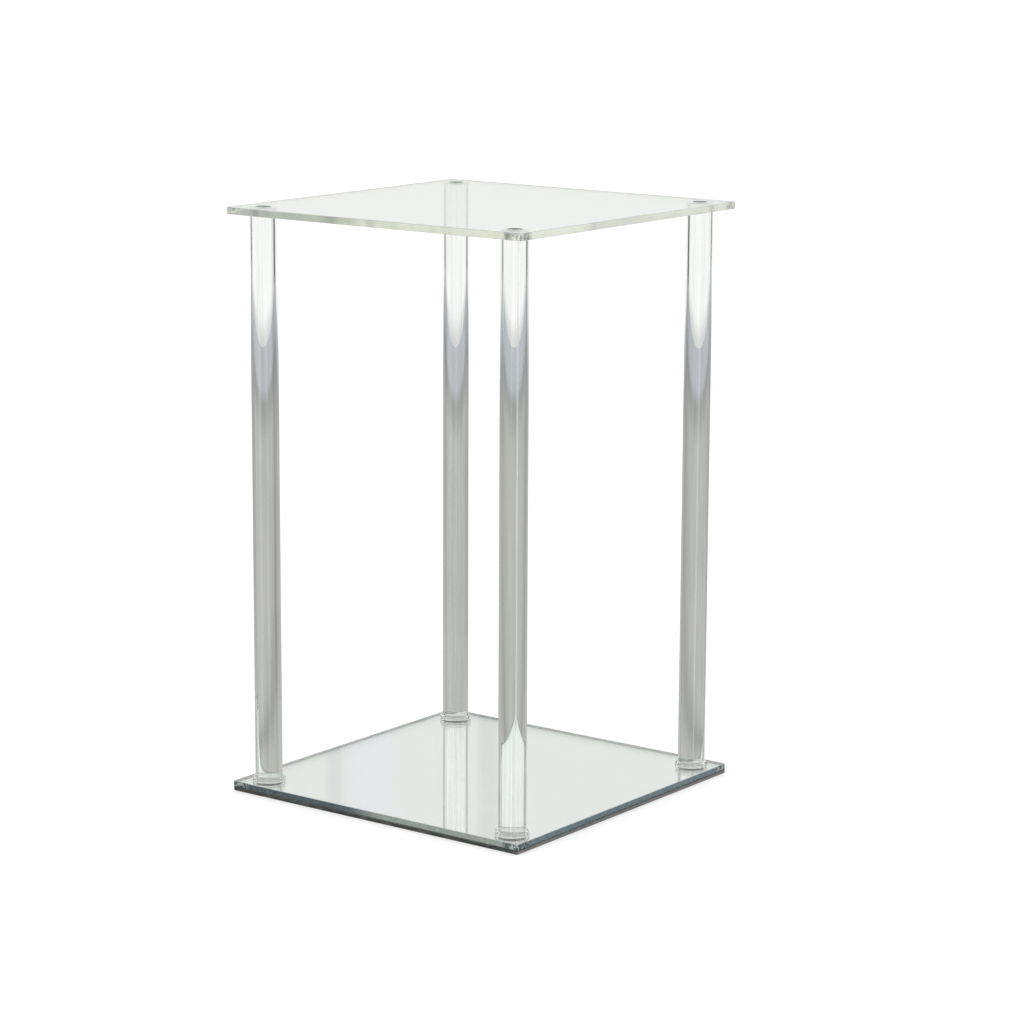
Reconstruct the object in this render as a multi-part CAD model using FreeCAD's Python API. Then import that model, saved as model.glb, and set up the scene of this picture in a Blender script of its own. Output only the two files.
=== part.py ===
import FreeCAD, Part

import os

# Display stand: a square clear top plate on four clear round posts, over a square mirrored base.
# Millimetres, +Z up. The origin is the centre of the base's underside, and the plates' edges run
# along X and Y. Front is -Y and right is +X.

# Driving dimensions.
PLATE_SIDE = 250.0            # side of the top plate and of the base
TOP_THICK = 5.0               # clear top plate
SHEET_THICK = 4.4             # clear upper sheet of the base
MIRROR_THICK = 0.3            # silvered layer under the clear sheet
BACKING_THICK = 2.2           # dark lower sheet of the base
JOINT_GAP = 0.05              # bond line, or dry joint where two faces meet
POST_DIAMETER = 19.0
POST_LENGTH = 400.0
POST_INSET = 17.8             # from the plates' edges to the posts' axes
COLLAR_HEIGHT = 3.4
COLLAR_FOOT_WALL = 2.2        # radial thickness of a collar where it stands on the base
COLLAR_TOP_WALL = 1.4         # the same at its top
SCREW_DIAMETER = 6.0          # of all screws
TOP_SCREW_LENGTH = 10.0       # overall, heads included
BASE_SCREW_LENGTH = 12.0

# Edge finish.
CORNER_RADIUS = 1.0           # upright corner edges of the plates
EASED = 0.3                   # chamfer on the polished edges of plates and posts
COLLAR_ROUND = 1.1            # round on a collar's upper outer edge

# Screws and their holes. Clearances are on the radius.
HEAD_DIAMETER = 10.0          # thin flat heads, sunk flush in the plates
HEAD_HEIGHT = 1.4
HEAD_CLEARANCE = 0.1
SLOT_WIDTH = 1.2
SLOT_DEPTH = 0.7
SHANK_POINT = 0.6             # chamfer at the end of a shank
PLATE_CLEARANCE = 0.2         # between a shank and the plates
TAPPED_CLEARANCE = 0.05       # between a shank and a post's threaded hole
TAPPED_DEPTH = 6.5
DRILL_POINT = 1.8             # conical end of a threaded hole
COLLAR_CLEARANCE = 0.1        # between a post and its collar

# Levels, from the bottom up.
MIRROR_BOTTOM = BACKING_THICK + JOINT_GAP
SHEET_BOTTOM = MIRROR_BOTTOM + MIRROR_THICK + JOINT_GAP
SHEET_TOP = SHEET_BOTTOM + SHEET_THICK
POST_BOTTOM = SHEET_TOP + JOINT_GAP
POST_TOP = POST_BOTTOM + POST_LENGTH
TOP_BOTTOM = POST_TOP + JOINT_GAP
TOP_FACE = TOP_BOTTOM + TOP_THICK

POST_OFFSET = PLATE_SIDE / 2.0 - POST_INSET
CORNERS = {
    "front_left": FreeCAD.Vector(-POST_OFFSET, -POST_OFFSET, 0.0),
    "front_right": FreeCAD.Vector(POST_OFFSET, -POST_OFFSET, 0.0),
    "back_right": FreeCAD.Vector(POST_OFFSET, POST_OFFSET, 0.0),
    "back_left": FreeCAD.Vector(-POST_OFFSET, POST_OFFSET, 0.0),
}


def turned(profile):
    """A solid turned about the Z axis from (radius, height) points."""
    points = [FreeCAD.Vector(radius, 0.0, height) for radius, height in profile]
    face = Part.Face(Part.makePolygon(points + points[:1]))
    return face.revolve(FreeCAD.Vector(0.0, 0.0, 0.0), FreeCAD.Vector(0.0, 0.0, 1.0), 360.0)


def moved(shape, offset):
    """A copy of a shape, shifted."""
    copy = shape.copy()
    copy.translate(offset)
    return copy


def square_plate(bottom, thickness, eased_levels=()):
    """A square plate with soft upright corners, its face edges chamfered at the levels given."""
    half = PLATE_SIDE / 2.0
    plate = Part.makeBox(PLATE_SIDE, PLATE_SIDE, thickness, FreeCAD.Vector(-half, -half, bottom))
    upright = [edge for edge in plate.Edges if edge.BoundBox.ZLength > thickness / 2.0]
    plate = plate.makeFillet(CORNER_RADIUS, upright)
    for level in eased_levels:
        rim = [edge for edge in plate.Edges
               if abs(edge.BoundBox.ZMin - level) < EASED and edge.BoundBox.ZLength < EASED]
        plate = plate.makeChamfer(EASED, rim)
    return plate


def screw_profile(face, inward, length):
    """Outline of a flat-headed screw whose head is flush with a face. inward is -1.0 if the
    screw points down from the face and 1.0 if it points up."""
    radius = SCREW_DIAMETER / 2.0
    head = HEAD_DIAMETER / 2.0
    outline = [
        (0.0, 0.0),
        (head, 0.0),
        (head, HEAD_HEIGHT),
        (radius, HEAD_HEIGHT),
        (radius, length - SHANK_POINT),
        (radius - SHANK_POINT, length),
        (0.0, length),
    ]
    return [(r, face + inward * depth) for r, depth in outline]


def screw(face, inward, length):
    """A slotted flat-headed screw."""
    slot = Part.makeBox(SLOT_WIDTH, HEAD_DIAMETER, 2.0 * SLOT_DEPTH)
    slot.translate(FreeCAD.Vector(-SLOT_WIDTH / 2.0, -HEAD_DIAMETER / 2.0, face - SLOT_DEPTH))
    return turned(screw_profile(face, inward, length)).cut(slot)


def screw_hole(face, inward):
    """Cutter for a counterbored clearance hole, open at the face and running out past the plate."""
    hole = SCREW_DIAMETER / 2.0 + PLATE_CLEARANCE
    mouth = HEAD_DIAMETER / 2.0 + HEAD_CLEARANCE
    seat = HEAD_HEIGHT + JOINT_GAP
    past = 2.0 * BASE_SCREW_LENGTH
    outline = [
        (0.0, -seat),
        (mouth, -seat),
        (mouth, seat),
        (hole, seat),
        (hole, past),
        (0.0, past),
    ]
    return turned([(r, face + inward * depth) for r, depth in outline])


def drilled(plate, cutter):
    """The plate with one cutter taken out at each of the four post axes."""
    for offset in CORNERS.values():
        plate = plate.cut(moved(cutter, offset))
    return plate


def top_plate():
    """Clear top plate, counterbored from above for the top screws."""
    plate = square_plate(TOP_BOTTOM, TOP_THICK, (TOP_BOTTOM, TOP_FACE))
    return drilled(plate, screw_hole(TOP_FACE, -1.0))


def base_sheet():
    """Clear upper sheet of the base, with clearance holes for the base screws."""
    plate = square_plate(SHEET_BOTTOM, SHEET_THICK, (SHEET_TOP,))
    return drilled(plate, screw_hole(0.0, 1.0))


def base_mirror():
    """Silvered layer between the clear sheet and the backing."""
    return drilled(square_plate(MIRROR_BOTTOM, MIRROR_THICK), screw_hole(0.0, 1.0))


def base_backing():
    """Dark lower sheet of the base, counterbored from below for the base screws."""
    plate = square_plate(0.0, BACKING_THICK, (0.0,))
    return drilled(plate, screw_hole(0.0, 1.0))


def post():
    """Solid clear rod with a blind threaded hole in each end."""
    radius = POST_DIAMETER / 2.0
    tapped = SCREW_DIAMETER / 2.0 + TAPPED_CLEARANCE
    return turned([
        (tapped, POST_BOTTOM),
        (radius - EASED, POST_BOTTOM),
        (radius, POST_BOTTOM + EASED),
        (radius, POST_TOP - EASED),
        (radius - EASED, POST_TOP),
        (tapped, POST_TOP),
        (tapped, POST_TOP - TAPPED_DEPTH),
        (0.0, POST_TOP - TAPPED_DEPTH - DRILL_POINT),
        (0.0, POST_BOTTOM + TAPPED_DEPTH + DRILL_POINT),
        (tapped, POST_BOTTOM + TAPPED_DEPTH),
    ])


def foot_collar():
    """Clear ring round a post's foot, standing on the base, its side sloped in and its upper
    outer edge rounded."""
    bore = POST_DIAMETER / 2.0 + COLLAR_CLEARANCE
    top = POST_BOTTOM + COLLAR_HEIGHT
    ring = turned([
        (bore, POST_BOTTOM),
        (bore + COLLAR_FOOT_WALL, POST_BOTTOM),
        (bore + COLLAR_TOP_WALL, top),
        (bore, top),
    ])
    upper = [edge for edge in ring.Edges
             if edge.BoundBox.ZMin > top - JOINT_GAP
             and edge.BoundBox.XMax > bore + COLLAR_TOP_WALL / 2.0]
    return ring.makeFillet(COLLAR_ROUND, upper)


PLATES = {
    "top_plate": top_plate,
    "base_sheet": base_sheet,
    "base_mirror": base_mirror,
    "base_backing": base_backing,
}

AT_EACH_POST = {
    "post": post(),
    "foot_collar": foot_collar(),
    "top_screw": screw(TOP_FACE, -1.0, TOP_SCREW_LENGTH),
    "base_screw": screw(0.0, 1.0, BASE_SCREW_LENGTH),
}

os.makedirs("parts", exist_ok=True)
for name, make in PLATES.items():
    make().exportStep("parts/" + name + ".step")
for name, shape in AT_EACH_POST.items():
    for corner, offset in CORNERS.items():
        moved(shape, offset).exportStep("parts/" + name + "_" + corner + ".step")
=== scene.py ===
"""Looks of a clear four-post display stand with a mirrored base: fine parts, materials, stage,
light and camera. Metres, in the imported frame: +Z up, front -Y, right +X."""

import math

import bmesh
import bpy
from mathutils import Matrix, Vector


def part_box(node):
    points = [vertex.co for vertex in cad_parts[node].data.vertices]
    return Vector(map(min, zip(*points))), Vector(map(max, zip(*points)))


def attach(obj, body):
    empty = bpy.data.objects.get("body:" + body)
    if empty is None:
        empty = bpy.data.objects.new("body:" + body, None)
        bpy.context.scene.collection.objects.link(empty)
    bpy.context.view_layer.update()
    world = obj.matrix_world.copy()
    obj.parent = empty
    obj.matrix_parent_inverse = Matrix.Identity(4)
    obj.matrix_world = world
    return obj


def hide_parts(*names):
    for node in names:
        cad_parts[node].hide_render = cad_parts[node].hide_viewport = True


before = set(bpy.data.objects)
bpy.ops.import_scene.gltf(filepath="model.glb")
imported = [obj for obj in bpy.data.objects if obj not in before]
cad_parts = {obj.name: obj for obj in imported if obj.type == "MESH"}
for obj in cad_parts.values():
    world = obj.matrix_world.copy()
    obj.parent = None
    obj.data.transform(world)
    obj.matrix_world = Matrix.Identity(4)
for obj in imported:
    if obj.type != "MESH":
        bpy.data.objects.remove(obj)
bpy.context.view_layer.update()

MM = 0.001
CORNERS = ("front_left", "front_right", "back_right", "back_left")
TOP_LOW, TOP_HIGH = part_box("top_plate")
SIDE = TOP_HIGH.x - TOP_LOW.x
SHEET_LOW, SHEET_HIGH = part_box("base_sheet")
BASE_TOP = SHEET_HIGH.z
POST_LOW, POST_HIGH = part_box("post_back_right")
POST_OFFSET = (POST_LOW.x + POST_HIGH.x) / 2.0
POST_RADIUS = (POST_HIGH.x - POST_LOW.x) / 2.0


def centre_of(node):
    low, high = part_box(node)
    return (low + high) / 2.0


# ------------------------------------------------------------------------------------- camera

CAMERA_AZIMUTH = math.radians(36.83)
CAMERA_ELEVATION = math.radians(11.43)
CAMERA_ROLL = math.radians(0.27)
CAMERA_DISTANCE = 9.381 * SIDE
CAMERA_ASIDE = 0.082 * SIDE
CAMERA_RAISE = 0.741 * SIDE
CAMERA_LENS = 115.7
CAMERA_SENSOR = 36.0
CAMERA_REACH = 100.0


def make_camera():
    """Camera that looks along its own azimuth and elevation, shifted aside and up in its plane."""
    level = math.cos(CAMERA_ELEVATION)
    back = Vector((
        math.sin(CAMERA_AZIMUTH) * level,
        -math.cos(CAMERA_AZIMUTH) * level,
        math.sin(CAMERA_ELEVATION),
    ))
    right = Vector((math.cos(CAMERA_AZIMUTH), math.sin(CAMERA_AZIMUTH), 0.0))
    up = back.cross(right)
    place = back * CAMERA_DISTANCE + right * CAMERA_ASIDE + up * CAMERA_RAISE
    place.z += BASE_TOP
    rolled_right = right * math.cos(CAMERA_ROLL) + up * math.sin(CAMERA_ROLL)
    rolled_up = up * math.cos(CAMERA_ROLL) - right * math.sin(CAMERA_ROLL)
    turn = Matrix((rolled_right, rolled_up, back)).transposed()
    data = bpy.data.cameras.new("camera")
    data.lens = CAMERA_LENS
    data.sensor_width = CAMERA_SENSOR
    data.clip_end = CAMERA_REACH
    camera = bpy.data.objects.new("camera", data)
    camera.matrix_world = Matrix.Translation(place) @ turn.to_4x4()
    bpy.context.scene.collection.objects.link(camera)
    bpy.context.scene.camera = camera


# ------------------------------------------------------------------------- material node helpers

# A Mix node has sockets for numbers, vectors and colours. These are its colour sockets.
MIX_FIRST = 6
MIX_SECOND = 7
MIX_RESULT = 2


def new_material(name):
    material = bpy.data.materials.new(name)
    material.use_nodes = True
    return material, material.node_tree, material.node_tree.nodes["Principled BSDF"]


def add(tree, kind, **settings):
    """A new node with the named properties set."""
    node = tree.nodes.new(kind)
    for name, value in settings.items():
        setattr(node, name, value)
    return node


def add_linked(tree, kind, vector):
    """A new node whose first input is the vector."""
    node = add(tree, kind)
    tree.links.new(vector, node.inputs[0])
    return node


def put(tree, socket, value):
    """Links a socket to another node's output, or sets it to a plain value."""
    if isinstance(value, bpy.types.NodeSocket):
        tree.links.new(value, socket)
    else:
        socket.default_value = value


def math_node(tree, operation, first, second=0.0):
    node = add(tree, "ShaderNodeMath", operation=operation)
    put(tree, node.inputs[0], first)
    put(tree, node.inputs[1], second)
    return node.outputs[0]


def vector_math(tree, operation, first, second=(0.0, 0.0, 0.0)):
    """Vector Math node, whose result is its Vector output or, for a dot product, its Value."""
    node = add(tree, "ShaderNodeVectorMath", operation=operation)
    put(tree, node.inputs[0], first)
    put(tree, node.inputs[1], second)
    return node


def remap(tree, value, low, high, to_low=0.0, to_high=1.0):
    """Value from low to high mapped smoothly to to_low ... to_high, held flat outside."""
    node = add(tree, "ShaderNodeMapRange", interpolation_type="SMOOTHSTEP")
    put(tree, node.inputs["Value"], value)
    node.inputs["From Min"].default_value = low
    node.inputs["From Max"].default_value = high
    node.inputs["To Min"].default_value = to_low
    node.inputs["To Max"].default_value = to_high
    return node.outputs["Result"]


def fade(tree, value, low, high):
    """1 up to low, fading out to 0 at high."""
    return remap(tree, value, low, high, 1.0, 0.0)


def colour_value(colour):
    """A colour socket as it is, or red, green and blue with full alpha."""
    if isinstance(colour, bpy.types.NodeSocket):
        return colour
    return (*colour, 1.0)


def blend_colour(tree, share, first, second):
    """First colour at share 0, second at share 1."""
    node = add(tree, "ShaderNodeMix", data_type="RGBA")
    put(tree, node.inputs["Factor"], share)
    put(tree, node.inputs[MIX_FIRST], colour_value(first))
    put(tree, node.inputs[MIX_SECOND], colour_value(second))
    return node.outputs[MIX_RESULT]


def place_socket(tree):
    """Object coordinates, which are metres in the frame for every piece here."""
    return add(tree, "ShaderNodeTexCoord").outputs["Object"]


def split(tree, vector):
    return add_linked(tree, "ShaderNodeSeparateXYZ", vector).outputs


def noise(tree, size, stretch=(1.0, 1.0, 1.0), detail=2.0, roughness=0.5):
    """Noise from 0 to 1 whose features are about size across, longer where stretch is more."""
    mapping = add_linked(tree, "ShaderNodeMapping", place_socket(tree))
    mapping.inputs["Scale"].default_value = [1.0 / (size * longer) for longer in stretch]
    node = add(tree, "ShaderNodeTexNoise")
    tree.links.new(mapping.outputs["Vector"], node.inputs["Vector"])
    node.inputs["Scale"].default_value = 1.0
    node.inputs["Detail"].default_value = detail
    node.inputs["Roughness"].default_value = roughness
    return node.outputs["Fac"]


# Parts of a normal along an axis between which one kind of face gives way to another.
RIM_TO_LEVEL = (0.78, 0.95)
UPRIGHT_TO_CHAMFER = (0.4, 0.6)
SIDE_TO_FRONT = (0.6, 0.8)
ROUND_TO_END = (0.9, 0.98)
# Distances from a post's axis and from a plate's corner over which their colours fade out.
HOLE_REACH = (6.0 * MM, 7.0 * MM)
CORNER_REACH = (9.0 * MM, 15.0 * MM)


def direction_share(tree, axis, low, high):
    """0 where the surface's normal has less than low of an axis, either way, to 1 at high."""
    normal = add(tree, "ShaderNodeNewGeometry").outputs["True Normal"]
    part = math_node(tree, "ABSOLUTE", split(tree, normal)[axis])
    return remap(tree, part, low, high)


def rim_share(tree):
    """1 on a plate's upright and chamfered faces, 0 on its level ones."""
    return math_node(tree, "SUBTRACT", 1.0, direction_share(tree, "Z", *RIM_TO_LEVEL))


def chamfer_share(tree):
    """1 on a plate's chamfers alone."""
    sloped = direction_share(tree, "Z", *UPRIGHT_TO_CHAMFER)
    return math_node(tree, "MULTIPLY", sloped, rim_share(tree))


def front_share(tree):
    """1 on a plate's front and back edges, 0 on its left and right ones."""
    return direction_share(tree, "Y", *SIDE_TO_FRONT)


def offsets_from_posts(tree):
    """How far a point is from the nearest posts' axes along X and along Y, never negative."""
    offsets = []
    for part in split(tree, place_socket(tree))[:2]:
        aside = math_node(tree, "SUBTRACT", math_node(tree, "ABSOLUTE", part), POST_OFFSET)
        offsets.append(math_node(tree, "ABSOLUTE", aside))
    return offsets


def hole_share(tree):
    """1 in and round a screw's hole."""
    return fade(tree, math_node(tree, "MAXIMUM", *offsets_from_posts(tree)), *HOLE_REACH)


def corner_share(tree):
    """1 on a plate's edge near its corners, fading out along the edge."""
    ends = []
    for part in split(tree, place_socket(tree))[:2]:
        ends.append(math_node(tree, "SUBTRACT", SIDE / 2.0, math_node(tree, "ABSOLUTE", part)))
    return fade(tree, math_node(tree, "MAXIMUM", *ends), *CORNER_REACH)


def bump(tree, shader, height, depth):
    """Relief of height 0 to 1 over depth metres."""
    node = add(tree, "ShaderNodeBump")
    node.inputs["Strength"].default_value = 1.0
    node.inputs["Distance"].default_value = depth
    tree.links.new(height, node.inputs["Height"])
    tree.links.new(node.outputs["Normal"], shader.inputs["Normal"])


def absorbing(tree, tint, density):
    """Body tint: tint is what a path of 1 / density metres lets through, to first order."""
    volume = add(tree, "ShaderNodeVolumeAbsorption")
    volume.inputs["Color"].default_value = (*tint, 1.0)
    volume.inputs["Density"].default_value = density
    tree.links.new(volume.outputs["Volume"], tree.nodes["Material Output"].inputs["Volume"])


# ------------------------------------------------------------------------------------ materials

# Colours are linear red, green and blue. A pair holds the two ends of an uneven colour, and a
# span the levels of noise at which it reaches them.
IOR_ACRYLIC = 1.49
CLEAN = (1.0, 1.0, 1.0)
MOST_OF_NOISE = (0.3, 0.7)      # span that fine noise seldom leaves

GLINT_SIZE = 1.8 * MM
RIM_OPAQUE = 0.5                # part of a plate's edge that lets no light through
CORNER_OPAQUE = 0.4             # the same near its corners


def clear_shader(name):
    """Clear plastic to start from."""
    material, tree, shader = new_material(name)
    shader.inputs["Transmission Weight"].default_value = 1.0
    shader.inputs["IOR"].default_value = IOR_ACRYLIC
    shader.inputs["Roughness"].default_value = 0.0
    return material, tree, shader


def glinting_corners(tree, corner, cut, pair, span, strength):
    """The colour of a cut edge with painted two-tone glints near the plate's corners."""
    specks = remap(tree, noise(tree, GLINT_SIZE), *span)
    glint_tone = blend_colour(tree, specks, *pair)
    return blend_colour(tree, math_node(tree, "MULTIPLY", corner, strength), cut, glint_tone)


def half_opaque_rim(tree, shader, rim, corner):
    """Makes a clear plate's edges about half opaque, as cut edges look."""
    opaque = remap(tree, corner, 0.0, 1.0, RIM_OPAQUE, CORNER_OPAQUE)
    put(tree, shader.inputs["Transmission Weight"],
        math_node(tree, "SUBTRACT", 1.0, math_node(tree, "MULTIPLY", rim, opaque)))


TOP_SMEARED = (0.97, 0.985, 0.97)
# Edge tones, partly the edge's own colour and partly painted reflection of the surroundings.
TOP_CREAM = ((0.84, 0.87, 0.74), (0.97, 0.985, 0.86))
TOP_GREY = ((0.52, 0.58, 0.52), (0.62, 0.67, 0.60))
TOP_PALE = ((0.91, 0.94, 0.82), (1.0, 1.0, 0.94))
# Painted two-tone glints near the corners: light and dark reflections.
TOP_GLINTS = ((0.34, 0.38, 0.36), (0.97, 1.0, 0.95))
# Painted highlight on the chamfers.
TOP_ARRIS_HIGHLIGHT = (0.95, 0.97, 0.93)
# Painted shade in the screws' bores.
TOP_BORE_SHADE = (0.12, 0.13, 0.125)
TOP_GREY_TO_CREAM = (-35 * MM, 5 * MM)      # along X
TOP_SMEAR_SPAN = (0.5, 0.75)
TOP_PATCH_SPAN = (0.35, 0.65)
TOP_GLINT_SPAN = (0.42, 0.56)
TOP_GLINT_STRENGTH = 0.75
TOP_SMEAR_ROUGHNESS = 0.02
TOP_EDGE_ROUGHNESS = 0.10
TOP_WAVE_DEPTH = 0.008 * MM
TOP_TINT = (0.80, 0.84, 0.72)
TOP_DENSITY = 3.0


def top_plate_material():
    """Cast sheet: faint smears and long waves on its faces, bores darkened by painted shade, and
    milled edges whose tones are partly their own and partly painted reflection of the
    surroundings:
    pale at the sides, cream at the front and back with grey-green left parts, painted two-tone
    glints near the corners, and a painted highlight on the chamfers."""
    material, tree, shader = clear_shader("cast_acrylic_sheet")
    rubbed = noise(tree, size=40 * MM, stretch=(1.0, 0.6, 1.0), detail=3.0)
    smears = remap(tree, rubbed, *TOP_SMEAR_SPAN)
    rim = rim_share(tree)
    corner = corner_share(tree)
    across = split(tree, place_socket(tree))["X"]
    face = blend_colour(tree, smears, CLEAN, TOP_SMEARED)
    uneven = noise(tree, size=14 * MM, stretch=(1.0, 1.0, 9.0), detail=3.0)
    patches = remap(tree, uneven, *TOP_PATCH_SPAN)
    cream = blend_colour(tree, patches, *TOP_CREAM)
    grey = blend_colour(tree, patches, *TOP_GREY)
    pale = blend_colour(tree, patches, *TOP_PALE)
    # Edge tones, partly their own and partly painted reflection, differ by side and along X.
    front = blend_colour(tree, remap(tree, across, *TOP_GREY_TO_CREAM), grey, cream)
    milled = blend_colour(tree, front_share(tree), pale, front)
    # Painted two-tone glints near the corners.
    cut = glinting_corners(tree, corner, milled, TOP_GLINTS, TOP_GLINT_SPAN, TOP_GLINT_STRENGTH)
    # Painted highlight on the chamfers.
    arris = blend_colour(tree, chamfer_share(tree), cut, TOP_ARRIS_HIGHLIGHT)
    # Painted shade in the bores round the screws.
    edge = blend_colour(tree, hole_share(tree), arris, TOP_BORE_SHADE)
    put(tree, shader.inputs["Base Color"], blend_colour(tree, rim, face, edge))
    half_opaque_rim(tree, shader, rim, corner)
    face_finish = math_node(tree, "MULTIPLY", smears, TOP_SMEAR_ROUGHNESS)
    edge_finish = math_node(tree, "MULTIPLY", rim, TOP_EDGE_ROUGHNESS)
    put(tree, shader.inputs["Roughness"], math_node(tree, "ADD", face_finish, edge_finish))
    bump(tree, shader, noise(tree, size=60 * MM, detail=1.0), TOP_WAVE_DEPTH)
    absorbing(tree, TOP_TINT, TOP_DENSITY)
    return material


BASE_DUSTY = (0.98, 0.985, 0.98)
# Edge tones, partly the edge's own colour and partly painted reflection of the surroundings.
BASE_STEEL = ((0.13, 0.215, 0.255), (0.27, 0.38, 0.42))
BASE_PALE = ((0.40, 0.47, 0.42), (0.62, 0.66, 0.60))
BASE_SLATE = ((0.07, 0.105, 0.125), (0.16, 0.21, 0.235))
# Painted two-tone glints near the corners: light and dark reflections.
BASE_GLINTS = ((0.09, 0.13, 0.15), (0.90, 0.95, 0.95))
BASE_GLUE = (0.04, 0.05, 0.055)
# Painted highlight on the arris.
BASE_ARRIS_HIGHLIGHT = (0.80, 0.90, 0.93)
BASE_SLATE_TO_PALE = (-30 * MM, 15 * MM)    # along X
BASE_GLUE_HEIGHT = (0.3 * MM, 0.8 * MM)     # above the sheet's underside, full and faded out
BASE_DUST_SPAN = (0.55, 0.8)
BASE_MARK_SPAN = (0.35, 0.65)
BASE_GLINT_SPAN = (0.44, 0.60)
BASE_GLINT_STRENGTH = 0.8
BASE_EDGE_ROUGHNESS = 0.12
BASE_SAW_DEPTH = 0.06 * MM
BASE_TINT = (0.60, 0.70, 0.71)
BASE_DENSITY = 6.0


def base_sheet_material():
    """Sheet over the mirror: sawn edges with fine saw marks, whose tones are partly their own and
    partly painted reflection of the surroundings: steel-blue at the sides, slate to pale from left
    to right along the front and back, with painted two-tone glints near the corners, a dark glue
    line at the bottom and a painted highlight on the arris at the top."""
    material, tree, shader = clear_shader("tinted_base_sheet")
    dust = remap(tree, noise(tree, size=9 * MM, detail=4.0), *BASE_DUST_SPAN)
    rim = rim_share(tree)
    corner = corner_share(tree)
    place = split(tree, place_socket(tree))
    face = blend_colour(tree, dust, CLEAN, BASE_DUSTY)
    rough = noise(tree, size=1.3 * MM, stretch=(1.0, 1.0, 1.6), detail=3.0, roughness=0.7)
    marks = remap(tree, rough, *BASE_MARK_SPAN)
    steel = blend_colour(tree, marks, *BASE_STEEL)
    pale = blend_colour(tree, marks, *BASE_PALE)
    slate = blend_colour(tree, marks, *BASE_SLATE)
    # Edge tones, partly their own and partly painted reflection, differ by side and along X.
    front = blend_colour(tree, remap(tree, place["X"], *BASE_SLATE_TO_PALE), slate, pale)
    sawn_edge_and_reflection = blend_colour(tree, front_share(tree), steel, front)
    # Painted two-tone glints near the corners.
    cut = glinting_corners(tree, corner, sawn_edge_and_reflection, BASE_GLINTS, BASE_GLINT_SPAN,
                          BASE_GLINT_STRENGTH)
    glue_low, glue_high = [SHEET_LOW.z + height for height in BASE_GLUE_HEIGHT]
    sawn = blend_colour(tree, fade(tree, place["Z"], glue_low, glue_high), cut, BASE_GLUE)
    # Painted highlight on the arris.
    edge = blend_colour(tree, chamfer_share(tree), sawn, BASE_ARRIS_HIGHLIGHT)
    put(tree, shader.inputs["Base Color"], blend_colour(tree, rim, face, edge))
    half_opaque_rim(tree, shader, rim, corner)
    put(tree, shader.inputs["Roughness"], math_node(tree, "MULTIPLY", rim, BASE_EDGE_ROUGHNESS))
    bump(tree, shader, math_node(tree, "MULTIPLY", marks, rim), BASE_SAW_DEPTH)
    absorbing(tree, BASE_TINT, BASE_DENSITY)
    return material


SILVER = ((0.92, 0.935, 0.925), (0.955, 0.97, 0.96))
LACQUER = (0.02, 0.022, 0.022)
SILVER_ROUGHNESS = (0.03, 0.055)


def mirror_material():
    """Silvering, slightly hazed, with lacquered edges."""
    material, tree, shader = new_material("silvering")
    haze = noise(tree, size=25 * MM, detail=4.0)
    edge = rim_share(tree)
    silver = blend_colour(tree, haze, *SILVER)
    put(tree, shader.inputs["Base Color"], blend_colour(tree, edge, silver, LACQUER))
    put(tree, shader.inputs["Metallic"], math_node(tree, "SUBTRACT", 1.0, edge))
    dulled = remap(tree, haze, *MOST_OF_NOISE, *SILVER_ROUGHNESS)
    put(tree, shader.inputs["Roughness"], dulled)
    return material


BOARD = ((0.09, 0.088, 0.088), (0.19, 0.185, 0.185))
# Painted shade: the board's tone on its front and back faces.
BOARD_SHADED = ((0.01, 0.012, 0.011), (0.045, 0.05, 0.046))
BOARD_SCUFF = (0.30, 0.29, 0.28)
BOARD_SCUFF_SPAN = (0.42, 0.7)
BOARD_SCUFF_STRENGTH = 0.25
BOARD_GLOSS = 0.3
BOARD_ROUGHNESS = (0.45, 0.7)
BOARD_GRAIN_DEPTH = 0.05 * MM


def backing_material():
    """Grey-brown backing board with a fine grain and scuffs, and painted shade that makes its
    front and back faces darker than its sides.
    """
    material, tree, shader = new_material("backing_board")
    grain = noise(tree, size=0.7 * MM, detail=3.0, roughness=0.7)
    rubbed = noise(tree, size=9 * MM, stretch=(1.0, 1.0, 0.2), detail=4.0, roughness=0.7)
    worn = remap(tree, rubbed, *BOARD_SCUFF_SPAN)
    scuffs = math_node(tree, "MULTIPLY", worn, BOARD_SCUFF_STRENGTH)
    board = blend_colour(tree, grain, *BOARD)
    dark = blend_colour(tree, grain, *BOARD_SHADED)
    # Painted shade on the front and back faces.
    board_with_face_shade = blend_colour(tree, front_share(tree), board, dark)
    put(tree, shader.inputs["Base Color"], blend_colour(tree, scuffs, board_with_face_shade, BOARD_SCUFF))
    shader.inputs["Specular IOR Level"].default_value = BOARD_GLOSS
    dulled = remap(tree, grain, *MOST_OF_NOISE, *BOARD_ROUGHNESS)
    put(tree, shader.inputs["Roughness"], dulled)
    bump(tree, shader, grain, BOARD_GRAIN_DEPTH)
    return material


# Fine lines along each rod, after the streaks in the photo: how far aside of the rod's middle the
# main camera sees a line, as a share of the radius, its half width, and its strength. Pale lines
# are partly scuffs and partly painted highlights; dark lines are partly die grooves and partly
# painted dark reflections. They stay at their place on the rod from any side.
# Pale lines: partly scuffs and partly painted highlights.
SCUFFS_AND_HIGHLIGHTS = {
    "front_left": ((-0.33, 1.4 * MM, 0.13), (0.20, 0.8 * MM, 0.13)),
    "front_right": ((0.23, 0.9 * MM, 0.32), (-0.20, 0.7 * MM, 0.07)),
    "back_right": ((0.10, 0.9 * MM, 0.22), (-0.35, 0.8 * MM, 0.05)),
    "back_left": ((-0.40, 1.9 * MM, 0.12), (0.03, 1.2 * MM, 0.14)),
}
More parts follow.
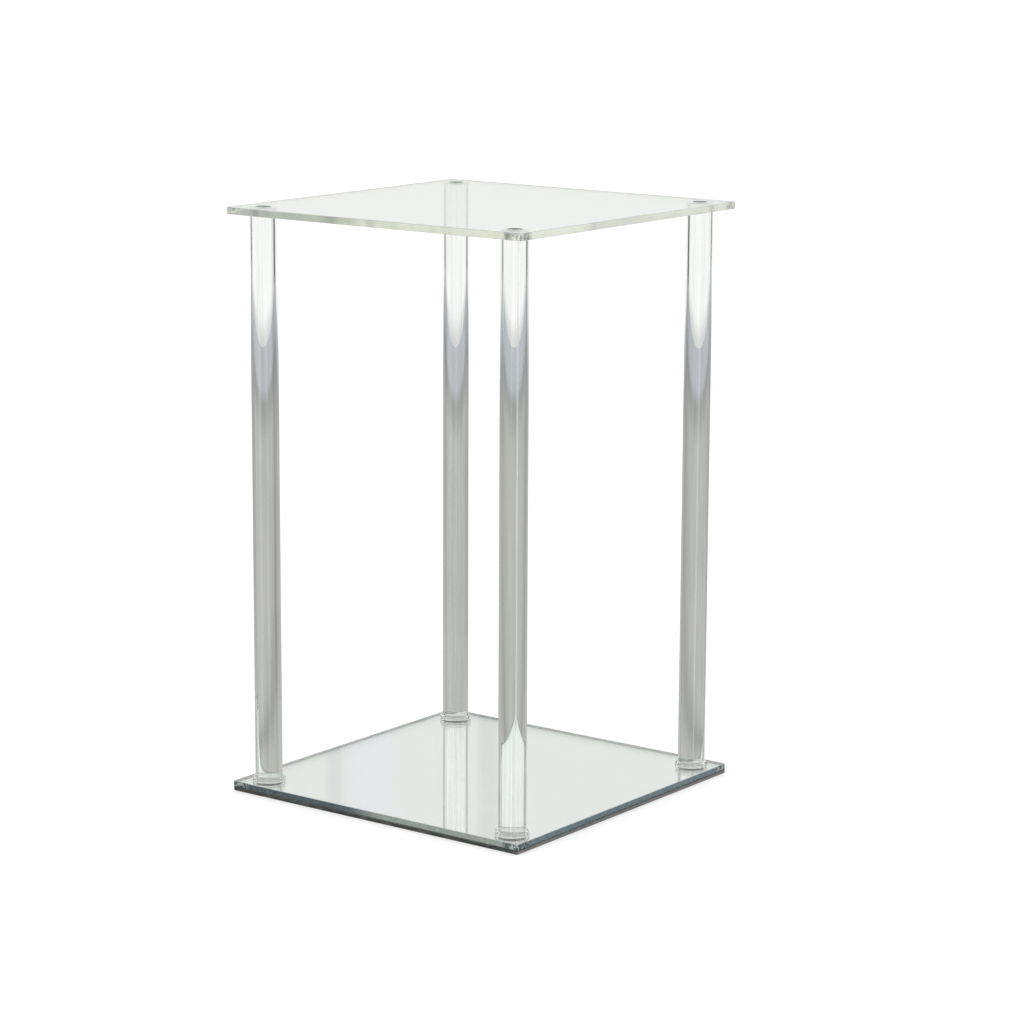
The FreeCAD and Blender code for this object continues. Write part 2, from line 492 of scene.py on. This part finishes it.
# Dark lines: partly die grooves and partly painted dark reflections.
GROOVES_AND_DARK_REFLECTIONS = {
    "front_left": ((0.67, 1.0 * MM, 0.32), (-0.02, 0.5 * MM, 0.12), (-0.80, 1.3 * MM, 0.18)),
    "front_right": ((0.05, 0.5 * MM, 0.22), (0.82, 0.7 * MM, 0.32), (-0.55, 0.7 * MM, 0.10),
                    (-0.88, 1.1 * MM, 0.16)),
    "back_right": ((-0.85, 0.8 * MM, 0.32), (0.62, 0.6 * MM, 0.12)),
    "back_left": ((0.45, 0.7 * MM, 0.15), (-0.74, 1.0 * MM, 0.22)),
}
LINE_CORE = 0.4                 # share of a line's half width that has its full strength
ROD_LINES = ((0.88, 0.90, 0.88), (0.99, 1.0, 0.985))
ROD_LINE_SPAN = (0.38, 0.62)
# Tone of the dark lines, partly grooves and partly painted dark reflection.
ROD_GROOVE_AND_REFLECTION = (0.10, 0.10, 0.11)
ROD_HAZE = 0.08
ROD_HAZE_SPAN = (0.6, 0.7)
ROD_END_DULL = 0.8
ROD_TINT = (0.80, 0.87, 0.80)
ROD_DENSITY = 2.0


def line_along_rod(tree, corner, aside, half_width):
    """1 on a line down one side of a rod, fading out at its half width."""
    axis = centre_of("post_" + corner)
    angle = CAMERA_AZIMUTH - math.pi / 2.0 + math.asin(aside)
    x, y = split(tree, place_socket(tree))[:2]
    along = math_node(tree, "MULTIPLY", math_node(tree, "SUBTRACT", x, axis.x), math.cos(angle))
    across = math_node(tree, "MULTIPLY", math_node(tree, "SUBTRACT", y, axis.y), math.sin(angle))
    turned_to = math_node(tree, "DIVIDE", math_node(tree, "ADD", along, across), POST_RADIUS)
    outer = math.cos(half_width / POST_RADIUS)
    inner = math.cos(LINE_CORE * half_width / POST_RADIUS)
    return remap(tree, turned_to, outer, inner)


def rod_material(corner):
    """Extruded rod: die lines along its length, dark lines that are partly die grooves and partly
    painted dark reflections, pale lines that are partly scuffs and partly painted highlights, and
    dull end faces.
    """
    material, tree, shader = clear_shader("extruded_acrylic_rod_" + corner)
    lines = noise(tree, size=0.9 * MM, stretch=(1.0, 1.0, 90.0), roughness=0.6)
    tint = blend_colour(tree, remap(tree, lines, *ROD_LINE_SPAN), *ROD_LINES)
    # Dark lines, partly die grooves and partly painted dark reflections.
    for aside, half_width, strength in GROOVES_AND_DARK_REFLECTIONS[corner]:
        line = line_along_rod(tree, corner, aside, half_width)
        tint = blend_colour(tree, math_node(tree, "MULTIPLY", line, strength), tint, ROD_GROOVE_AND_REFLECTION)
    put(tree, shader.inputs["Base Color"], tint)
    long_lines = noise(tree, size=0.9 * MM, stretch=(1.0, 1.0, 400.0))
    haze = remap(tree, long_lines, *ROD_HAZE_SPAN, 0.0, ROD_HAZE)
    # Pale lines, partly scuffs and partly painted highlights, let less light through.
    for aside, half_width, strength in SCUFFS_AND_HIGHLIGHTS[corner]:
        line = line_along_rod(tree, corner, aside, half_width)
        haze = math_node(tree, "ADD", haze, math_node(tree, "MULTIPLY", line, strength))
    end_face = direction_share(tree, "Z", *ROUND_TO_END)
    dull_ends = math_node(tree, "MULTIPLY", end_face, ROD_END_DULL)
    dulled = math_node(tree, "ADD", haze, dull_ends)
    put(tree, shader.inputs["Transmission Weight"], math_node(tree, "SUBTRACT", 1.0, dulled))
    absorbing(tree, ROD_TINT, ROD_DENSITY)
    return material


COLLAR_CLOUDY = (0.96, 0.975, 0.965)
COLLAR_ROUGHNESS = (0.03, 0.12)
COLLAR_TRANSMISSION = (0.98, 0.88)
COLLAR_CLOUD_SPAN = (0.3, 0.8)
COLLAR_RIPPLE_DEPTH = 0.04 * MM


def collar_material():
    """Moulded clear plastic, a little cloudy."""
    material, tree, shader = clear_shader("moulded_clear_plastic")
    cloud = noise(tree, size=3 * MM, detail=3.0)
    put(tree, shader.inputs["Base Color"], blend_colour(tree, cloud, COLLAR_CLOUDY, CLEAN))
    dulled = remap(tree, cloud, *MOST_OF_NOISE, *COLLAR_ROUGHNESS)
    put(tree, shader.inputs["Roughness"], dulled)
    clear = remap(tree, cloud, *COLLAR_CLOUD_SPAN, *COLLAR_TRANSMISSION)
    put(tree, shader.inputs["Transmission Weight"], clear)
    bump(tree, shader, cloud, COLLAR_RIPPLE_DEPTH)
    return material


SCREW_CLOUDY = (0.93, 0.95, 0.94)
SCREW_ROUGHNESS = (0.03, 0.10)
SCREW_TRANSMISSION = (0.85, 0.65)
SCREW_FLOW_SPAN = (0.3, 0.8)
SCREW_TINT = (0.75, 0.82, 0.78)
SCREW_DENSITY = 10.0


def screw_material():
    """Clear moulded screw plastic with flow marks."""
    material, tree, shader = clear_shader("clear_screw_plastic")
    flow = noise(tree, size=1.5 * MM, stretch=(1.0, 1.0, 3.0), detail=3.0)
    put(tree, shader.inputs["Base Color"], blend_colour(tree, flow, SCREW_CLOUDY, CLEAN))
    dulled = remap(tree, flow, *MOST_OF_NOISE, *SCREW_ROUGHNESS)
    put(tree, shader.inputs["Roughness"], dulled)
    clear = remap(tree, flow, *SCREW_FLOW_SPAN, *SCREW_TRANSMISSION)
    put(tree, shader.inputs["Transmission Weight"], clear)
    absorbing(tree, SCREW_TINT, SCREW_DENSITY)
    return material


# --------------------------------------------------------------------------------------- pieces

ROUND_STEPS = 160
SHARP = math.radians(35.0)


def finish_piece(name, bm, material, slot, *nodes):
    """Makes a smooth-shaded piece that rides on the stand and replaces the CAD nodes named."""
    bmesh.ops.recalc_face_normals(bm, faces=bm.faces)
    mesh = bpy.data.meshes.new(name)
    bm.to_mesh(mesh)
    bm.free()
    mesh.polygons.foreach_set("use_smooth", [True] * len(mesh.polygons))
    mesh.set_sharp_from_angle(angle=SHARP)
    mesh.materials.append(material)
    piece = bpy.data.objects.new(name, mesh)
    bpy.context.scene.collection.objects.link(piece)
    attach(piece, "root")
    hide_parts(*nodes)
    return piece


def ring(bm, centre, height, radius_at):
    """A ring of vertices round an upright axis, radius_at giving the radius at each angle."""
    verts = []
    for step in range(ROUND_STEPS):
        angle = 2.0 * math.pi * step / ROUND_STEPS
        radius = radius_at(angle)
        verts.append(bm.verts.new((
            centre.x + radius * math.cos(angle),
            centre.y + radius * math.sin(angle),
            height,
        )))
    return verts


def join_rings(bm, first, second):
    """Faces between two rings, which have the same number of vertices."""
    for step in range(len(first)):
        after = (step + 1) % len(first)
        bm.faces.new((first[step], first[after], second[after], second[step]))


EASE = 0.3 * MM                 # rounded end edges of a rod
EASE_STEPS = 4
HOLD = 0.4 * MM                 # short straight stretch beyond each eased edge
DIE_LINE_DEPTH = 0.006 * MM
DIE_LINE_LEVELS = 24
# Ripples that add up to the die lines: how many go round the rod, their phase and their weight.
DIE_LINES = ((5, 0.4, 1.0), (9, 2.1, 0.8), (14, 4.0, 0.7), (23, 1.2, 0.6), (37, 5.3, 0.4))
DIE_LINE_DRIFT = 0.5            # radians, how far a ripple wanders round the rod
DIE_LINE_WANDERING = 9.0        # radians of that wandering to a metre of rod
ROD_TURN = 1.7                  # radians from one rod's ripples to the next rod's


def die_line(angle, height, turned):
    """Depth of the rod's die lines, from 0 to 1: ripples round the rod that drift along it."""
    wave = 0.0
    total = 0.0
    for count, phase, weight in DIE_LINES:
        drift = DIE_LINE_DRIFT * math.sin(DIE_LINE_WANDERING * height + phase)
        wave += weight * math.cos(count * angle + phase + drift + turned)
        total += weight
    return 0.5 + 0.5 * wave / total


def make_post(corner, number, material):
    """Solid rod with eased ends and faint die lines."""
    node = "post_" + corner
    low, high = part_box(node)
    centre = centre_of(node)
    radius = (high.x - low.x) / 2.0
    bm = bmesh.new()
    eased = []
    for step in range(EASE_STEPS + 1):
        turn = math.pi / 2.0 * step / EASE_STEPS
        eased.append((EASE * (1.0 - math.cos(turn)), EASE * (1.0 - math.sin(turn))))
    body_start = EASE + HOLD
    body = high.z - low.z - 2.0 * body_start
    levels = [(low.z + depth, inset) for inset, depth in eased[::-1]]
    for step in range(DIE_LINE_LEVELS + 1):
        levels.append((low.z + body_start + body * step / DIE_LINE_LEVELS, 0.0))
    levels += [(high.z - depth, inset) for inset, depth in eased]
    rings = []
    for height, inset in levels:
        rings.append(ring(bm, centre, height, lambda angle: (
            radius - inset - DIE_LINE_DEPTH * die_line(angle, height, ROD_TURN * number))))
    for first, second in zip(rings, rings[1:]):
        join_rings(bm, first, second)
    bm.faces.new(rings[0])
    bm.faces.new(rings[-1])
    return finish_piece("rod_" + corner, bm, material, "clear_acrylic_rod", node)


COLLAR_TOP_WALL = 1.4 * MM      # radial thickness of a collar's sloped ring at its top
COLLAR_CLEARANCE = 0.1 * MM
COLLAR_FOOT_ROUND = 0.25 * MM
COLLAR_TOP_ROUND = 0.95 * MM
COLLAR_BORE_ROUND = 0.2 * MM
ARC_STEPS = 8


def rounded_outline(corners):
    """Closed outline in the (radius, height) plane with an arc at each (point, rounding)."""
    points = []
    for index, (corner, rounding) in enumerate(corners):
        before = (corners[index - 1][0] - corner).normalized()
        after = (corners[(index + 1) % len(corners)][0] - corner).normalized()
        half = before.angle(after) / 2.0
        middle = corner + (before + after).normalized() * (rounding / math.sin(half))
        start = corner + before * (rounding / math.tan(half)) - middle
        finish = corner + after * (rounding / math.tan(half)) - middle
        for step in range(ARC_STEPS + 1):
            points.append(middle + start.slerp(finish, step / ARC_STEPS) * rounding)
    return points


def make_collar(corner, material):
    """Low sloped ring round a post's foot, every edge rounded."""
    node = "foot_collar_" + corner
    low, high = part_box(node)
    post_low, post_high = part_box("post_" + corner)
    outer = (high.x - low.x) / 2.0
    inner = (post_high.x - post_low.x) / 2.0 + COLLAR_CLEARANCE
    outline = rounded_outline((
        (Vector((outer, low.z)), COLLAR_FOOT_ROUND),
        (Vector((inner + COLLAR_TOP_WALL, high.z)), COLLAR_TOP_ROUND),
        (Vector((inner, high.z)), COLLAR_BORE_ROUND),
        (Vector((inner, low.z)), COLLAR_BORE_ROUND),
    ))
    bm = bmesh.new()
    rings = []
    for radius, height in outline:
        rings.append(ring(bm, centre_of(node), height, lambda angle: radius))
    for first, second in zip(rings, rings[1:] + rings[:1]):
        join_rings(bm, first, second)
    return finish_piece("collar_" + corner, bm, material, "clear_collar_plastic", node)


HEAD_HEIGHT = 1.4 * MM
HEAD_SUNK = 0.30 * MM           # face of a head below the plate's face
HEAD_BEVEL = 0.2 * MM
SHANK_DIAMETER = 6.0 * MM
THREAD_PITCH = 1.0 * MM
THREAD_DEPTH = 0.55 * MM
THREAD_ROWS = 8                 # rings of vertices to one pitch
SLOT_WIDTH = 1.2 * MM
SLOT_DEPTH = 0.7 * MM
SLOT_REACH = 3.0                # length of a slot's cutter, in head radii


def thread_radius(angle, along):
    """Radius of a V thread at an angle and a distance along the shank. The thread comes out
    right-handed on the base screws, which point up, and left-handed on the top screws."""
    turns = along / THREAD_PITCH - angle / (2.0 * math.pi)
    flank = abs(2.0 * (turns - math.floor(turns)) - 1.0)
    return SHANK_DIAMETER / 2.0 - THREAD_DEPTH * (1.0 - flank)


def make_screw(node, face, inward, shank_end, material):
    """Flat-headed threaded screw as far as its post's end face, past which it is set in clear
    cement and can't be told from the rod."""
    low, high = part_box(node)
    centre = centre_of(node)
    head = (high.x - low.x) / 2.0
    bm = bmesh.new()
    rings = []
    head_outline = ((HEAD_BEVEL, HEAD_SUNK), (0.0, HEAD_SUNK + HEAD_BEVEL), (0.0, HEAD_HEIGHT))
    for inset, depth in head_outline:
        rings.append(ring(bm, centre, face + inward * depth, lambda angle: head - inset))
    length = abs(shank_end - face) - HEAD_HEIGHT
    rows = max(2, round(length / THREAD_PITCH * THREAD_ROWS))
    for row in range(rows + 1):
        along = length * row / rows
        height = face + inward * (HEAD_HEIGHT + along)
        rings.append(ring(bm, centre, height, lambda angle: thread_radius(angle, along)))
    for first, second in zip(rings, rings[1:]):
        join_rings(bm, first, second)
    bm.faces.new(rings[0])
    bm.faces.new(rings[-1])
    piece = finish_piece("threaded_" + node, bm, material, "clear_screw_plastic", node)
    cut_slot(piece, centre, face, head)
    return piece


def cut_slot(piece, centre, face, head):
    """Cuts the driver slot across a head, and keeps the cut mesh instead of the modifier."""
    bm = bmesh.new()
    bmesh.ops.create_cube(bm, size=1.0)
    mesh = bpy.data.meshes.new("slot_cutter")
    bm.to_mesh(mesh)
    bm.free()
    cutter = bpy.data.objects.new("slot_cutter", mesh)
    bpy.context.scene.collection.objects.link(cutter)
    cutter.scale = (SLOT_WIDTH, SLOT_REACH * head, 2.0 * SLOT_DEPTH)
    cutter.location = (centre.x, centre.y, face)
    cut = piece.modifiers.new("slot", "BOOLEAN")
    cut.operation = "DIFFERENCE"
    cut.solver = "EXACT"
    cut.object = cutter
    bpy.context.view_layer.update()
    evaluated = piece.evaluated_get(bpy.context.evaluated_depsgraph_get())
    cut_mesh = bpy.data.meshes.new_from_object(evaluated)
    piece.modifiers.remove(cut)
    piece.data = cut_mesh
    bpy.data.objects.remove(cutter)


# ---------------------------------------------------------------------------------------- stage

# Clear and mirrored parts see a grey table within white walls, and the camera and matt parts see
# a plain floor. Table and walls are squared to the camera's azimuth and don't move with it.
SEEN_IN_CLEAR_PARTS = ("visible_glossy", "visible_transmission")
SEEN_PLAIN = ("visible_camera", "visible_diffuse")

TABLE_DROP = 0.001              # table's depth below the stand's underside
TABLE_TONE = (0.51, 0.51, 0.495)
# Painted shade band near the walls.
TABLE_SHADE_BAND_TONE = (0.375, 0.38, 0.378)
TABLE_FAR_TONE = (0.51, 0.53, 0.57)
TABLE_STEEP_TONE = (0.88, 0.90, 0.88)   # table looked down on, not along
TABLE_INTO_SHADE_BAND = (1.30, 1.61)          # from the middle, in metres
TABLE_OUT_OF_SHADE_BAND = (1.61, 1.76)
TABLE_STEEP = (0.30, 0.62)      # Layer Weight's Facing, from looked down on to looked along
TABLE_DIAGONAL = (0.35, 1.0)    # smaller over greater distance from the middle along its sides
TABLE_CORNER_SHADE = 0.74       # tone of the table on its diagonals, as a share
EVEN_WEIGHT = 0.5               # Layer Weight's Blend

WALL_DISTANCE = 2.09
WALL_HEIGHT = 0.50
WALL_WHITE = (1.0, 1.0, 1.0)
WALL_FADE = (0.22, 0.5)         # heights over which white turns to the studio's tone
WALL_FOOT = 0.045
WALL_FOOT_SHADE = 0.72
SHADE_START = 1.42              # walls turn grey from here to the flags
SHADE_TONE = (0.60, 0.61, 0.60)
FLAG_START = 1.80               # dark flags stand from here to the walls' corners
FLAG_HEIGHT = 0.33
FLAG_BLUR = 0.05
FLAG_TONE = (0.03, 0.03, 0.035)

FLOOR_DROP = 0.0005             # floor's depth below the stand's underside
FLOOR_REACH = 40.0
FLOOR_TONE = ((0.93, 0.93, 0.93), (0.95, 0.95, 0.95))
FLOOR_UNEVENNESS = 0.4          # size of the floor's soft patches
FLOOR_GLOW = 1.12


def stage_sheet(name, width, low, high, matrix, seen):
    """A flat stage sheet in its own XY plane, seen only by the kinds of ray listed."""
    half = width / 2.0
    corners = [(-half, low, 0), (half, low, 0), (half, high, 0), (-half, high, 0)]
    mesh = bpy.data.meshes.new(name)
    mesh.from_pydata(corners, [], [(0, 1, 2, 3)])
    sheet = bpy.data.objects.new(name, mesh)
    sheet.matrix_world = matrix
    bpy.context.scene.collection.objects.link(sheet)
    for flag in SEEN_IN_CLEAR_PARTS + SEEN_PLAIN:
        setattr(sheet, flag, flag in seen)
    sheet.visible_shadow = False
    return sheet


def glowing(name):
    """A material that only shows its own tone. Returns it with its tree and its emission node."""
    material, tree, shader = new_material(name)
    tree.nodes.remove(shader)
    glow = add(tree, "ShaderNodeEmission")
    tree.links.new(glow.outputs[0], tree.nodes["Material Output"].inputs["Surface"])
    material.cycles.emission_sampling = "NONE"
    return material, tree, glow


def facing(azimuth, distance):
    """Stands a sheet upright behind the object as seen from an azimuth, facing it."""
    outward = Vector((-math.sin(azimuth), math.cos(azimuth), 0.0))
    across = Vector((math.cos(azimuth), math.sin(azimuth), 0.0))
    turn = Matrix((across, Vector((0.0, 0.0, 1.0)), -outward)).transposed()
    return Matrix.Translation(outward * distance) @ turn.to_4x4()


def make_table():
    """Grey table top with a painted shade band round it near the walls. It has a low sheen: grey
    along its surface, and pale where it is looked down on."""
    material, tree, glow = glowing("table_top_tone")
    x, y = split(tree, place_socket(tree))[:2]
    across = math_node(tree, "ABSOLUTE", x)
    along = math_node(tree, "ABSOLUTE", y)
    reach = math_node(tree, "MAXIMUM", across, along)
    slant = math_node(tree, "DIVIDE", math_node(tree, "MINIMUM", across, along), reach)
    # Painted shade band near the walls, then the far tone.
    into_shade_band = remap(tree, reach, *TABLE_INTO_SHADE_BAND)
    out_of_shade_band = remap(tree, reach, *TABLE_OUT_OF_SHADE_BAND)
    with_shade_band = blend_colour(tree, into_shade_band, TABLE_TONE, TABLE_SHADE_BAND_TONE)
    level = blend_colour(tree, out_of_shade_band, with_shade_band, TABLE_FAR_TONE)
    weight = add(tree, "ShaderNodeLayerWeight")
    weight.inputs["Blend"].default_value = EVEN_WEIGHT
    steep = fade(tree, weight.outputs["Facing"], *TABLE_STEEP)
    put(tree, glow.inputs["Color"], blend_colour(tree, steep, level, TABLE_STEEP_TONE))
    shade = remap(tree, slant, *TABLE_DIAGONAL, 1.0, TABLE_CORNER_SHADE)
    put(tree, glow.inputs["Strength"], math_node(tree, "MAXIMUM", shade, steep))
    turn = Matrix.Rotation(CAMERA_AZIMUTH, 4, "Z")
    place = Matrix.Translation((0, 0, -TABLE_DROP)) @ turn
    table = stage_sheet("table_top", 2.0 * WALL_DISTANCE, -WALL_DISTANCE, WALL_DISTANCE, place,
                        SEEN_IN_CLEAR_PARTS)
    table.data.materials.append(material)


def make_walls():
    """Four low white walls round the table, darker at the foot, turning grey towards the dark
    flags that stand at the corners between them."""
    material, tree, glow = glowing("white_wall_tone")
    x, height = split(tree, place_socket(tree))[:2]
    aside = math_node(tree, "ABSOLUTE", x)
    white = blend_colour(tree, remap(tree, height, *WALL_FADE), WALL_WHITE, STUDIO_TONE)
    low_down = fade(tree, height, FLAG_HEIGHT, FLAG_HEIGHT + FLAG_BLUR)
    towards_flag = remap(tree, aside, SHADE_START, FLAG_START)
    at_flag = remap(tree, aside, FLAG_START, FLAG_START + FLAG_BLUR)
    shade = math_node(tree, "MULTIPLY", towards_flag, low_down)
    flag = math_node(tree, "MULTIPLY", at_flag, low_down)
    shaded = blend_colour(tree, shade, white, SHADE_TONE)
    put(tree, glow.inputs["Color"], blend_colour(tree, flag, shaded, FLAG_TONE))
    put(tree, glow.inputs["Strength"], remap(tree, height, 0.0, WALL_FOOT, WALL_FOOT_SHADE, 1.0))
    for quarter in range(4):
        place = facing(CAMERA_AZIMUTH + quarter * math.pi / 2.0, WALL_DISTANCE)
        wall = stage_sheet("wall_" + str(quarter), 2.0 * WALL_DISTANCE, 0.0, WALL_HEIGHT, place,
                           SEEN_IN_CLEAR_PARTS)
        wall.data.materials.append(material)


def make_floor():
    """Plain pale floor that the camera sees, half lit and half glowing, which keeps the stand's
    shadow soft and faint."""
    floor = stage_sheet("floor", 2.0 * FLOOR_REACH, -FLOOR_REACH, FLOOR_REACH,
                        Matrix.Translation((0, 0, -FLOOR_DROP)), SEEN_PLAIN)
    floor.visible_shadow = True
    material, tree, shader = new_material("pale_floor")
    tree.nodes.remove(shader)
    matt = add(tree, "ShaderNodeBsdfDiffuse")
    tone = blend_colour(tree, noise(tree, FLOOR_UNEVENNESS), *FLOOR_TONE)
    put(tree, matt.inputs["Color"], tone)
    glow = add(tree, "ShaderNodeEmission")
    glow.inputs["Strength"].default_value = FLOOR_GLOW
    mix = add(tree, "ShaderNodeMixShader")
    tree.links.new(matt.outputs[0], mix.inputs[1])
    tree.links.new(glow.outputs[0], mix.inputs[2])
    tree.links.new(mix.outputs[0], tree.nodes["Material Output"].inputs["Surface"])
    material.cycles.emission_sampling = "NONE"
    floor.data.materials.append(material)


# ---------------------------------------------------------------------------------------- light

STUDIO_TONE = (0.805, 0.829, 0.799)
ROD_LIGHT_TONE = (1.08, 1.10, 1.08)     # studio as seen through a rod and in the mirror at once
ROD_SIDE_TONE = (0.34, 0.35, 0.34)      # the same, well off the camera's heading
ROD_HEADING = (0.66, 0.74)      # cosine of the angle off that heading, from side to light tone
ROD_SURFACES = 5.5              # the sheet has a mirrored ray cross four, and a rod two more
MIRRORED = 0.5                  # reflections past which a ray counts as mirrored
FLOOR_LIGHT = (1.2, 1.2, 1.2)
LOW_RISE = (0.36, 0.46)         # sine of the elevation up to which folds and rod tones show
FOLD_RISE = (0.17, 0.21)        # the same from which folds show
FOLD_CORE = 0.3                 # share of a fold's half width that has its full tone
# Faint upright folds of the backdrop: sine of the angle aside of the camera's heading, half width
# as such a sine too, and tone as a share of the studio's. The last one is a wide bluish band.
FOLDS = (
    (-0.0070, 0.0048, (0.88, 0.88, 0.88)),
    (-0.0555, 0.0036, (0.87, 0.88, 0.91)),
    (-0.0430, 0.0110, (1.00, 1.01, 1.06)),
)


def level_parts(tree, direction):
    """How far the level part of a direction points along the camera's heading and aside of it."""
    flat = vector_math(tree, "MULTIPLY", direction, (1.0, 1.0, 0.0)).outputs["Vector"]
    level = vector_math(tree, "NORMALIZE", flat).outputs["Vector"]
    heading = (-math.sin(CAMERA_AZIMUTH), math.cos(CAMERA_AZIMUTH), 0.0)
    right = (math.cos(CAMERA_AZIMUTH), math.sin(CAMERA_AZIMUTH), 0.0)
    ahead = vector_math(tree, "DOT_PRODUCT", level, heading).outputs["Value"]
    aside = vector_math(tree, "DOT_PRODUCT", level, right).outputs["Value"]
    return ahead, aside


def folded_studio(tree, aside, shown):
    """The studio's tone with the folds over it."""
    studio = STUDIO_TONE
    for place, half_width, share in FOLDS:
        away = math_node(tree, "ABSOLUTE", math_node(tree, "SUBTRACT", aside, place))
        near = fade(tree, away, FOLD_CORE * half_width, half_width)
        tone = [level * factor for level, factor in zip(STUDIO_TONE, share)]
        studio = blend_colour(tree, math_node(tree, "MULTIPLY", shown, near), studio, tone)
    return studio


def make_world():
    """Even soft light on matt surfaces. Clear and mirrored parts show a studio tone with faint
    upright folds, and rods seen in the mirror show a lighter one between darker sides."""
    world = bpy.data.worlds.new("studio")
    world.use_nodes = True
    tree = world.node_tree
    direction = add(tree, "ShaderNodeTexCoord").outputs["Generated"]
    rise = split(tree, direction)["Z"]
    ahead, aside = level_parts(tree, direction)
    low_down = fade(tree, rise, *LOW_RISE)
    fold_rise = math_node(tree, "MULTIPLY", remap(tree, rise, *FOLD_RISE), low_down)
    fold_ahead = math_node(tree, "GREATER_THAN", ahead, 0.0)
    studio = folded_studio(tree, aside, math_node(tree, "MULTIPLY", fold_rise, fold_ahead))
    path = add(tree, "ShaderNodeLightPath").outputs
    through_rod = math_node(tree, "GREATER_THAN", path["Transmission Depth"], ROD_SURFACES)
    mirrored = math_node(tree, "GREATER_THAN", path["Glossy Depth"], MIRRORED)
    both = math_node(tree, "MULTIPLY", through_rod, mirrored)
    rod_tone = blend_colour(tree, remap(tree, ahead, *ROD_HEADING), ROD_SIDE_TONE, ROD_LIGHT_TONE)
    tone = blend_colour(tree, math_node(tree, "MULTIPLY", both, low_down), studio, rod_tone)
    plain = math_node(tree, "MAXIMUM", path["Is Diffuse Ray"], path["Is Camera Ray"])
    light = blend_colour(tree, plain, tone, FLOOR_LIGHT)
    tree.links.new(light, tree.nodes["Background"].inputs["Color"])
    bpy.context.scene.world = world


CLEAR_BOUNCES = 24
MIRROR_BOUNCES = 16


def set_look():
    scene = bpy.context.scene
    scene.view_settings.view_transform = "Standard"
    scene.cycles.max_bounces = CLEAR_BOUNCES
    scene.cycles.transmission_bounces = CLEAR_BOUNCES
    scene.cycles.glossy_bounces = MIRROR_BOUNCES


# ------------------------------------------------------------------------------------- assembly

make_camera()

for node, material in (
    ("top_plate", top_plate_material()),
    ("base_sheet", base_sheet_material()),
    ("base_mirror", mirror_material()),
    ("base_backing", backing_material()),
):
    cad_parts[node].data.materials.clear()
    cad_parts[node].data.materials.append(material)

COLLAR = collar_material()
SCREW = screw_material()
for number, corner in enumerate(CORNERS):
    make_post(corner, number, rod_material(corner))
    make_collar(corner, COLLAR)
    make_screw("top_screw_" + corner, TOP_HIGH.z, -1.0, TOP_LOW.z, SCREW)
    make_screw("base_screw_" + corner, 0.0, 1.0, BASE_TOP, SCREW)

make_table()
make_walls()
make_floor()
make_world()
set_look()
